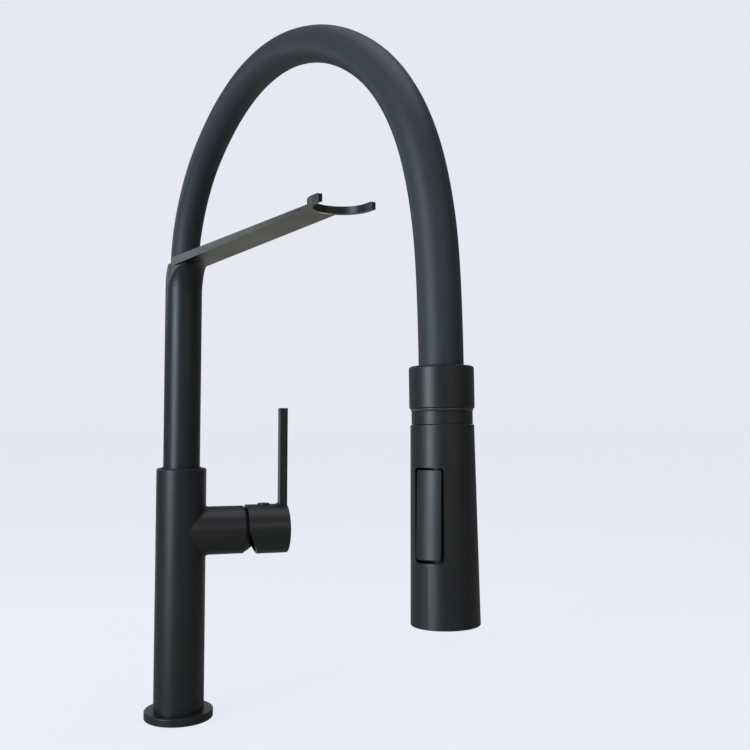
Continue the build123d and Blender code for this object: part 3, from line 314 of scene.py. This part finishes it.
def finish(
    name, tone, drift, rough, effect, settings, strength, depth,
    metal=0.0, coat=0.0, shine=0.5,
):
    material = bpy.data.materials.new(name)
    material.use_nodes = True
    tree = material.node_tree
    shader = tree.nodes["Principled BSDF"]
    place = add(tree, "ShaderNodeTexCoord").outputs["Object"]
    group = add(tree, "ShaderNodeGroup", node_tree=effect)
    tree.links.new(place, group.inputs["Place"])
    for label, value in settings.items():
        group.inputs[label].default_value = value
    blend = add(tree, "ShaderNodeMix", data_type="RGBA")
    blend.inputs["A"].default_value = (*tone, 1.0)
    blend.inputs["B"].default_value = (*drift, 1.0)
    tree.links.new(spread(tree, group.outputs["Mask"], 0.0, 1.0), blend.inputs["Factor"])
    tree.links.new(blend.outputs["Result"], shader.inputs["Base Color"])
    tree.links.new(spread(tree, group.outputs["Mask"], *rough), shader.inputs["Roughness"])
    bump = add(tree, "ShaderNodeBump")
    bump.inputs["Strength"].default_value = strength
    bump.inputs["Distance"].default_value = depth
    tree.links.new(group.outputs["Height"], bump.inputs["Height"])
    tree.links.new(bump.outputs["Normal"], shader.inputs["Normal"])
    shader.inputs["Metallic"].default_value = metal
    shader.inputs["Specular IOR Level"].default_value = shine
    shader.inputs["Coat Weight"].default_value = coat
    shader.inputs["Coat Roughness"].default_value = COAT_ROUGHNESS
    material.diffuse_color = (*tone, 1.0)
    return material


# %% All the finishes
PEBBLE = {"Grain": 2600.0, "Waves": 0.25}
FINE = {"Grain": 4200.0, "Waves": 0.4}
TURNED = {"Stretch": (60.0, 60.0, 8000.0)}
MATTE_SHINE = 0.32
finishes = {
    "matte_black": finish(
        "matte_black",
        tone=(0.0075, 0.0082, 0.0092), drift=(0.0095, 0.0102, 0.0115), rough=(0.38, 0.45),
        effect=skin, settings=PEBBLE, strength=0.10, depth=0.00006, shine=MATTE_SHINE,
    ),
    "black_plastic": finish(
        "black_plastic",
        tone=(0.0085, 0.0092, 0.0105), drift=(0.0105, 0.0112, 0.0125), rough=(0.40, 0.47),
        effect=skin, settings=FINE, strength=0.10, depth=0.00005, shine=MATTE_SHINE,
    ),
    "grey_silicone": finish(
        "grey_silicone",
        tone=(0.016, 0.019, 0.024), drift=(0.020, 0.023, 0.029), rough=(0.52, 0.60),
        effect=skin, settings=FINE, strength=0.08, depth=0.00005, shine=MATTE_SHINE,
    ),
    "black_rubber": finish(
        "black_rubber",
        tone=(0.016, 0.016, 0.016), drift=(0.024, 0.024, 0.024), rough=(0.65, 0.8),
        effect=skin, settings=FINE, strength=0.2, depth=0.0001,
    ),
    "brass": finish(
        "brass",
        tone=(0.72, 0.52, 0.24), drift=(0.62, 0.44, 0.2), rough=(0.22, 0.38),
        effect=lines, settings=TURNED, strength=0.15, depth=0.00004, metal=1.0,
    ),
    "steel": finish(
        "steel",
        tone=(0.56, 0.57, 0.58), drift=(0.48, 0.49, 0.5), rough=(0.22, 0.4),
        effect=lines, settings=TURNED, strength=0.15, depth=0.00004, metal=1.0,
    ),
    "dark_trim": finish(
        "dark_trim",
        tone=(0.030, 0.031, 0.034), drift=(0.024, 0.025, 0.028), rough=(0.26, 0.34),
        effect=lines, settings=TURNED, strength=0.12, depth=0.00003,
    ),
    "ceramic": finish(
        "ceramic",
        tone=(0.86, 0.85, 0.82), drift=(0.82, 0.81, 0.78), rough=(0.12, 0.2),
        effect=skin, settings=FINE, strength=0.03, depth=0.00002, coat=0.3,
    ),
    "grey_acetal": finish(
        "grey_acetal",
        tone=(0.5, 0.5, 0.47), drift=(0.46, 0.46, 0.43), rough=(0.35, 0.45),
        effect=skin, settings=FINE, strength=0.08, depth=0.00004,
    ),
    "magnet": finish(
        "magnet",
        tone=(0.4, 0.4, 0.41), drift=(0.34, 0.34, 0.35), rough=(0.25, 0.35),
        effect=skin, settings=PEBBLE, strength=0.05, depth=0.00003, metal=1.0,
    ),
}
slot_of = {entry["node"]: entry["material_slot"] for entry in frame["record"]["subparts"]}
for name, node in nodes.items():
    node.data.materials.clear()
    node.data.materials.append(finishes[slot_of[name]])
hose.data.materials.append(finishes["grey_silicone"])
print("finishes", len(finishes))

# %% [markdown]
# ## Turned pieces
# Many parts of a faucet are turned on a lathe, so one helper does the same here. A profile could
# be spun round the axis, but that leaves a seam to close. The helper adds a circle instead, then
# extrudes and scales it from one step of the profile to the next. Last it merges the doubles, so
# that closed profiles and poles come out sealed.


# %% The lathe
POLE = 0.00001
MERGE = 3 * POLE
SOFT_ANGLE = 35
HEXAGON = 6


def clear_selection():
    if bpy.context.object and bpy.context.object.mode != "OBJECT":
        bpy.ops.object.mode_set(mode="OBJECT")
    bpy.ops.object.select_all(action="DESELECT")


def smooth(piece, angle=SOFT_ANGLE):
    clear_selection()
    piece.select_set(True)
    bpy.context.view_layer.objects.active = piece
    bpy.ops.object.shade_smooth_by_angle(angle=radians(angle))


def turn(name, profile, sides):
    """A turned solid from (radius, height) steps in millimetres, on the world's Z axis."""
    clear_selection()
    steps = [(max(r * MM, POLE), z * MM) for r, z in profile]
    start_r, start_z = steps[0]
    bpy.ops.mesh.primitive_circle_add(vertices=sides, radius=start_r, location=(0, 0, start_z))
    piece = bpy.context.object
    piece.name = name
    bpy.ops.object.transform_apply(location=True, rotation=False, scale=False)
    bpy.ops.object.mode_set(mode="EDIT")
    bpy.ops.mesh.select_all(action="SELECT")
    for (r0, z0), (r1, z1) in zip(steps, steps[1:]):
        bpy.ops.mesh.extrude_edges_move(TRANSFORM_OT_translate={"value": (0, 0, z1 - z0)})
        bpy.ops.transform.resize(value=(r1 / r0, r1 / r0, 1), center_override=(0, 0, z1))
    bpy.ops.mesh.select_all(action="SELECT")
    bpy.ops.mesh.remove_doubles(threshold=MERGE)
    bpy.ops.mesh.normals_make_consistent(inside=False)
    bpy.ops.object.mode_set(mode="OBJECT")
    smooth(piece)
    return piece


def settle(piece, place, body, finish_name, stands_for=()):
    """Puts a finished piece in its place for good, and says what it rides on and stands for."""
    clear_selection()
    piece.select_set(True)
    bpy.context.view_layer.objects.active = piece
    piece.matrix_world = place @ piece.matrix_world
    bpy.ops.object.transform_apply(location=True, rotation=True, scale=True)
    piece.data.materials.clear()
    piece.data.materials.append(finishes[finish_name])
    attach(piece, body)
    if stands_for:
        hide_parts(*stands_for)
    size = [round(v / MM, 1) for v in piece.dimensions]
    print(piece.name, "faces", len(piece.data.polygons), "size mm", size)


# %% [markdown]
# ## Shank and its thread
# The shank is a brass pipe with a fine thread on the outside, for the nut under the deck. The
# Screw modifier makes a true helix, but its ends are hard to close. At this pitch a row of
# separate crests looks the same, and it is one closed profile for the lathe. The lower end is
# left smooth, as a lead-in for the nut.

# %% The threaded shank
SHANK_R = 15.9
SHANK_ROOT_R = 15.15
SHANK_BORE_R = 13.0
SHANK_LOW = -60.0
SHANK_HIGH = 40.0
THREAD_TOP = -3.0
PITCH = 1.5
CREST_HALF = PITCH / 14
LEAD_IN = 0.3
LEAD_IN_H = 0.8
SHANK_SIDES = 64
shank = [
    (SHANK_BORE_R, SHANK_LOW),
    (SHANK_ROOT_R - LEAD_IN, SHANK_LOW),
    (SHANK_ROOT_R, SHANK_LOW + LEAD_IN_H),
]
crest = SHANK_LOW + 2 * PITCH
while crest < THREAD_TOP:
    shank.append((SHANK_ROOT_R, crest - PITCH / 2))
    shank.append((SHANK_R, crest - CREST_HALF))
    shank.append((SHANK_R, crest + CREST_HALF))
    crest += PITCH
shank.append((SHANK_ROOT_R, crest - PITCH / 2))
shank.append((SHANK_R, THREAD_TOP + PITCH))
shank.append((SHANK_R, SHANK_HIGH))
shank.append((SHANK_BORE_R, SHANK_HIGH))
shank.append((SHANK_BORE_R, SHANK_LOW))
pipe = turn("shank_pipe", shank, SHANK_SIDES)
settle(pipe, Matrix.Identity(4), "base", "brass", ["threaded_shank"])

# %% [markdown]
# ## Clamp screws
# Two hexagon screws press the washers against the deck. Each is a threaded rod with a hexagon
# head below it. The rod comes off the lathe and the head is a six sided cylinder with its edges
# bevelled. The same function makes both screws, so each has its own mesh. They are joined last,
# because they stand for one part.

# %% The screws under the nut
SCREW_R = 2.5
SCREW_ROOT_R = 2.1
SCREW_TOP = -35.5
SCREW_LOW = -59.5
SCREW_HEAD = 4.0
SCREW_HEAD_R = 4.0
SCREW_PITCH = 0.8
SCREW_Y = 20.3
SCREW_SIDES = 20
ROD_IN_HEAD = 0.4
POINT_STEP = 0.6
HEAD_BEVEL = 0.35
HEAD_BEVEL_STEPS = 2
FLAT_ANGLE = 25
rod = [(0, SCREW_LOW - ROD_IN_HEAD), (SCREW_ROOT_R, SCREW_LOW - ROD_IN_HEAD)]
crest = SCREW_LOW + SCREW_PITCH
while crest < SCREW_TOP - SCREW_PITCH:
    rod.append((SCREW_ROOT_R, crest - SCREW_PITCH / 2))
    rod.append((SCREW_R, crest))
    crest += SCREW_PITCH
rod.append((SCREW_ROOT_R, SCREW_TOP - SCREW_PITCH / 2))
rod.append((SCREW_ROOT_R - POINT_STEP, SCREW_TOP))
rod.append((0, SCREW_TOP))


def hexagon_screw(name):
    shaft = turn(name, rod, SCREW_SIDES)
    clear_selection()
    bpy.ops.mesh.primitive_cylinder_add(
        vertices=HEXAGON, radius=SCREW_HEAD_R * MM, depth=SCREW_HEAD * MM,
        location=(0, 0, (SCREW_LOW - SCREW_HEAD / 2) * MM),
    )
    bpy.ops.object.mode_set(mode="EDIT")
    bpy.ops.mesh.bevel(offset=HEAD_BEVEL * MM, segments=HEAD_BEVEL_STEPS, affect="EDGES")
    bpy.ops.object.mode_set(mode="OBJECT")
    bpy.ops.object.transform_apply(location=True, rotation=True, scale=True)
    shaft.select_set(True)
    bpy.context.view_layer.objects.active = shaft
    bpy.ops.object.join()
    smooth(shaft, FLAT_ANGLE)
    return shaft


screws = []
for side in (-1, 1):
    screw = hexagon_screw("clamp_screw_" + ("front" if side < 0 else "back"))
    settle(screw, Matrix.Translation((0, side * SCREW_Y * MM, 0)), "base", "steel")
    screws.append(screw)
clear_selection()
for screw in screws:
    screw.select_set(True)
bpy.context.view_layer.objects.active = screws[0]
bpy.ops.object.join()
screws[0].name = "clamp_screw_pair"
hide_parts("clamp_screws")

# %% [markdown]
# ## Spray outlet
# The outlet has rings of soft silicone tips round an aerator. A tip is a short peg with a
# rounded end and a small hole, and lime can be rubbed off it. One tip is turned on the lathe and
# copied, each copy with its own mesh. The aerator is a cup with a honeycomb of fine walls. The
# honeycomb could be cut with booleans, but hexagons that are inset and pushed up are cleaner.

# %% The soft tips
FACE_LOW = -119.6
TIP_R = 0.8
TIP_LENGTH = 0.7
TIP_ROOT = 4.0
TIP_HOLE_R = 0.3
TIP_RINGS = ((8.4, 12), (10.6, 16), (12.6, 20))
TIP_SIDES = 14
HOLE_DEPTH = 0.5
HOLE_EDGE = 0.05
LIP = 0.12
TIP_ROUND = ((0.2, 0.1), (0.04, 0.4))
TIP_SEAT = 0.3
tip_low = FACE_LOW - TIP_LENGTH
tip_profile = [
    (0, tip_low + HOLE_DEPTH),
    (TIP_HOLE_R, tip_low + HOLE_DEPTH),
    (TIP_HOLE_R, tip_low + HOLE_EDGE),
    (TIP_HOLE_R + LIP, tip_low),
    *[(TIP_R - inset, tip_low + rise) for inset, rise in TIP_ROUND],
    (TIP_R, FACE_LOW + TIP_SEAT),
    (TIP_R, FACE_LOW + TIP_ROOT),
    (0, FACE_LOW + TIP_ROOT),
]
tips = []
first_tip = turn("tip", tip_profile, TIP_SIDES)
for ring_r, count in TIP_RINGS:
    for k in range(count):
        turn_by = 2 * pi * k / count
        tip = first_tip.copy()
        tip.data = first_tip.data.copy()
        bpy.context.collection.objects.link(tip)
        tip.location = (ring_r * MM * cos(turn_by), ring_r * MM * sin(turn_by), 0)
        tips.append(tip)
bpy.data.objects.remove(first_tip)
clear_selection()
for tip in tips:
    tip.select_set(True)
bpy.context.view_layer.objects.active = tips[0]
bpy.ops.object.transform_apply(location=True, rotation=True, scale=True)
bpy.ops.object.join()
tips[0].name = "spray_tips"
settle(tips[0], head_place, "spray_head", "grey_silicone", ["spray_nozzles"])

# %% The aerator: a cup, then one honeycomb wall after another inside it
CUP_R = 6.4
CUP_WALL = 1.0
CUP_HEIGHT = 9.0
CUP_TOP = FACE_LOW + CUP_HEIGHT
CELL = 1.5
CELL_WALL = 0.1 * CELL
CELL_ROOM = 0.55 * CELL
COMB_HEIGHT = 2.6
COMB_LIFT = 1.2
COMB_GAP = 0.6
CUP_EDGE = 0.3
CUP_SIDES = 56
COMB_ROWS = 4
cup = turn(
    "aerator_cup",
    [
        (CUP_R - CUP_WALL, FACE_LOW + CUP_EDGE),
        (CUP_R - CUP_WALL + CUP_EDGE, FACE_LOW),
        (CUP_R - CUP_EDGE, FACE_LOW),
        (CUP_R, FACE_LOW + CUP_EDGE),
        (CUP_R, CUP_TOP),
        (0, CUP_TOP),
        (0, FACE_LOW + COMB_LIFT + COMB_HEIGHT + COMB_GAP),
        (CUP_R - CUP_WALL, FACE_LOW + COMB_LIFT + COMB_HEIGHT + COMB_GAP),
        (CUP_R - CUP_WALL, FACE_LOW + CUP_EDGE),
    ],
    CUP_SIDES,
)
cells = []
for row in range(-COMB_ROWS, COMB_ROWS + 1):
    for column in range(-COMB_ROWS, COMB_ROWS + 1):
        x = (column + 0.5 * (row % 2)) * CELL
        y = row * CELL * sqrt(3) / 2
        if hypot(x, y) < CUP_R - CUP_WALL - CELL_ROOM:
            clear_selection()
            bpy.ops.mesh.primitive_circle_add(
                vertices=HEXAGON, radius=CELL / sqrt(3) * MM, fill_type="NGON",
                location=(x * MM, y * MM, (FACE_LOW + COMB_LIFT) * MM),
            )
            cell = bpy.context.object
            bpy.ops.object.mode_set(mode="EDIT")
            bpy.ops.mesh.inset(thickness=CELL_WALL * MM)
            rise = {"value": (0, 0, COMB_HEIGHT * MM)}
            bpy.ops.mesh.extrude_region_move(TRANSFORM_OT_translate=rise)
            bpy.ops.mesh.select_all(action="SELECT")
            bpy.ops.mesh.flip_normals()
            bpy.ops.object.mode_set(mode="OBJECT")
            cells.append(cell)
clear_selection()
for cell in cells:
    cell.select_set(True)
cup.select_set(True)
bpy.context.view_layer.objects.active = cup
bpy.ops.object.transform_apply(location=True, rotation=True, scale=True)
bpy.ops.object.join()
print("honeycomb cells", len(cells))
settle(cup, head_place, "spray_head", "grey_acetal", ["aerator"])

# %% [markdown]
# ## Floor and light
# The faucet stands on a plain pale floor under soft studio light. Towards the camera the floor
# and the sky have one even tone, as a paper sweep has, and the faucet leaves only a faint shadow.
# A big curved backdrop would do it too, but it fills the scene with faces, and its tone depends
# on every light. Here mix shaders choose the even tone for camera rays only. The floor vanishes
# when it is seen from below, so that the fixings under the deck show.

# %% The floor
PAPER_TONE = (0.799, 0.807, 0.879)
BOUNCE_TONE = (0.42, 0.39, 0.34)
SHADOW_SHARE = 0.10
EVEN_LIGHT = 1.075
FLOOR_SIZE = 60.0
FLOOR_DROP = 0.0002
FLOOR_ROUGHNESS = 0.9
clear_selection()
bpy.ops.mesh.primitive_plane_add(size=FLOOR_SIZE, location=(0, 0, -FLOOR_DROP))
floor = bpy.context.object
floor.name = "floor"

# %% The floor's paper
paper = bpy.data.materials.new("paper")
paper.use_nodes = True
tree = paper.node_tree
bounce = tree.nodes["Principled BSDF"]
bounce.inputs["Base Color"].default_value = (*BOUNCE_TONE, 1.0)
bounce.inputs["Roughness"].default_value = FLOOR_ROUGHNESS
seen = add(tree, "ShaderNodeBsdfDiffuse")
seen.inputs["Color"].default_value = (*PAPER_TONE, 1.0)
even = add(tree, "ShaderNodeEmission")
even.inputs["Color"].default_value = (*PAPER_TONE, 1.0)
even.inputs["Strength"].default_value = EVEN_LIGHT
even_paper = add(tree, "ShaderNodeMixShader")
even_paper.inputs["Fac"].default_value = SHADOW_SHARE
tree.links.new(even.outputs["Emission"], even_paper.inputs[1])
tree.links.new(seen.outputs["BSDF"], even_paper.inputs[2])
by_camera = add(tree, "ShaderNodeMixShader")
tree.links.new(add(tree, "ShaderNodeLightPath").outputs["Is Camera Ray"], by_camera.inputs["Fac"])
tree.links.new(bounce.outputs["BSDF"], by_camera.inputs[1])
tree.links.new(even_paper.outputs["Shader"], by_camera.inputs[2])
clear = add(tree, "ShaderNodeBsdfTransparent")
choose = add(tree, "ShaderNodeMixShader")
tree.links.new(add(tree, "ShaderNodeNewGeometry").outputs["Backfacing"], choose.inputs["Fac"])
tree.links.new(by_camera.outputs["Shader"], choose.inputs[1])
tree.links.new(clear.outputs["BSDF"], choose.inputs[2])
tree.links.new(choose.outputs["Shader"], tree.nodes["Material Output"].inputs["Surface"])
floor.data.materials.append(paper)
print("floor shader nodes", len(tree.nodes))

# %% The sky: an even tone to the camera, and a dimmer one as light
SKY_TONE = (0.80, 0.86, 1.0)
SKY_LIGHT = 0.30
world = bpy.data.worlds.new("studio")
bpy.context.scene.world = world
world.use_nodes = True
sky_tree = world.node_tree
sky = sky_tree.nodes["Background"]
sky.inputs["Color"].default_value = (*SKY_TONE, 1.0)
sky.inputs["Strength"].default_value = SKY_LIGHT
backdrop = add(sky_tree, "ShaderNodeBackground")
backdrop.inputs["Color"].default_value = (*PAPER_TONE, 1.0)
which = add(sky_tree, "ShaderNodeMixShader")
camera_ray = add(sky_tree, "ShaderNodeLightPath").outputs["Is Camera Ray"]
sky_tree.links.new(camera_ray, which.inputs["Fac"])
sky_tree.links.new(sky.outputs["Background"], which.inputs[1])
sky_tree.links.new(backdrop.outputs["Background"], which.inputs[2])
sky_tree.links.new(which.outputs["Shader"], sky_tree.nodes["World Output"].inputs["Surface"])
print("sky light", SKY_LIGHT)

# %% [markdown]
# ## Lamps
# A tall cool window on the left draws the long highlight down the column, the riser and the
# grip. The others are weak: a warm one in front for the boss, a wide one on top for the upper
# faces, one low behind for the underside of the arm, and a small one behind on the left for the
# arm's near side. Area lamps are used because their edges stay soft on rounded shapes.

# %% The lights
def soft_light(name, place, aim, size, power, tone):
    data = bpy.data.lights.new(name, "AREA")
    data.shape = "RECTANGLE"
    data.size, data.size_y = size
    data.energy = power
    data.color = tone
    lamp = bpy.data.objects.new(name, data)
    bpy.context.collection.objects.link(lamp)
    lamp.location = place
    lamp.visible_camera = False
    lamp.rotation_euler = (Vector(aim) - Vector(place)).to_track_quat("-Z", "Y").to_euler()
    return lamp


COOL = (0.76, 0.90, 1.0)
WARM = (1.0, 0.90, 0.72)
MOSS = (0.95, 1.0, 0.84)
PALE = (0.96, 1.0, 0.97)
CLEAR = (0.95, 0.97, 1.0)
soft_light(
    "window_left", place=(-1.6, -0.95, 0.5), aim=(0.0, 0.0, 0.28),
    size=(0.6, 1.5), power=52.0, tone=COOL,
)
soft_light(
    "warm_front", place=(0.45, -1.6, 0.8), aim=(0.05, 0.0, 0.16),
    size=(0.9, 0.2), power=4.0, tone=WARM,
)
soft_light(
    "top", place=(0.2, -0.1, 1.8), aim=(0.0, 0.0, 0.2),
    size=(1.2, 1.2), power=9.0, tone=CLEAR,
)
soft_light(
    "floor_glow", place=(0.1, 0.45, 0.03), aim=(0.05, -0.15, 0.345),
    size=(0.9, 0.5), power=0.75, tone=MOSS,
)
soft_light(
    "left_back", place=(-0.46, 0.46, 0.50), aim=(0.03, -0.13, 0.345),
    size=(0.25, 0.2), power=0.45, tone=PALE,
)
print("lamps", len(bpy.data.lights))
